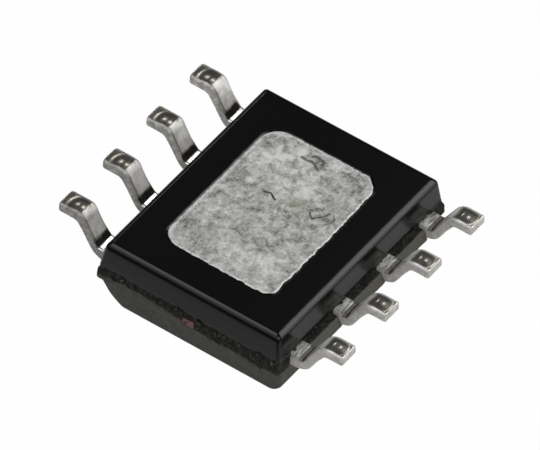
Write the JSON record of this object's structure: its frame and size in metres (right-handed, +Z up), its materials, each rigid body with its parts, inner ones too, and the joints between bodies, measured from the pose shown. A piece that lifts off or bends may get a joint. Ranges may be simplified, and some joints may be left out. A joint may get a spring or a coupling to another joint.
{
  "type": "motor driver chip",
  "caption": "Small-outline power chip lying on its marked face, with two rows of bent leads and a bare thermal pad that face up.",
  "frame": {"origin": "middle of the marked face that the part lies on", "axes": "+X across the two rows of leads, from leads 1 to 4 towards leads 5 to 8; +Y along the rows, from lead 1 towards lead 4; +Z up, out of the thermal pad"},
  "size_m": [0.006, 0.005, 0.0016],
  "materials": {
    "mould_compound": "black moulded epoxy, smooth and glossy round the pad, matte below the parting line",
    "tinned_lead": "matte tin plating over copper, with cut copper-grey edges",
    "tinned_pad": "matte tin plating, scratched and stained",
    "solder": "dull solder, hidden inside",
    "silicon": "polished silicon, hidden inside",
    "gold_wire": "drawn gold wire, hidden inside"
  },
  "bodies": {
    "root": {"body": "mould_compound", "die_paddle": "tinned_pad", "die_attach": "solder", "silicon_die": "silicon", "lead_1": "tinned_lead", "lead_2": "tinned_lead", "lead_3": "tinned_lead", "lead_4": "tinned_lead", "lead_5": "tinned_lead", "lead_6": "tinned_lead", "lead_7": "tinned_lead", "lead_8": "tinned_lead", "bond_wire_1": "gold_wire", "bond_wire_2": "gold_wire", "bond_wire_3": "gold_wire", "bond_wire_4": "gold_wire", "bond_wire_5": "gold_wire", "bond_wire_6": "gold_wire", "bond_wire_7": "gold_wire", "bond_wire_8": "gold_wire"}
  },
  "joints": []
}
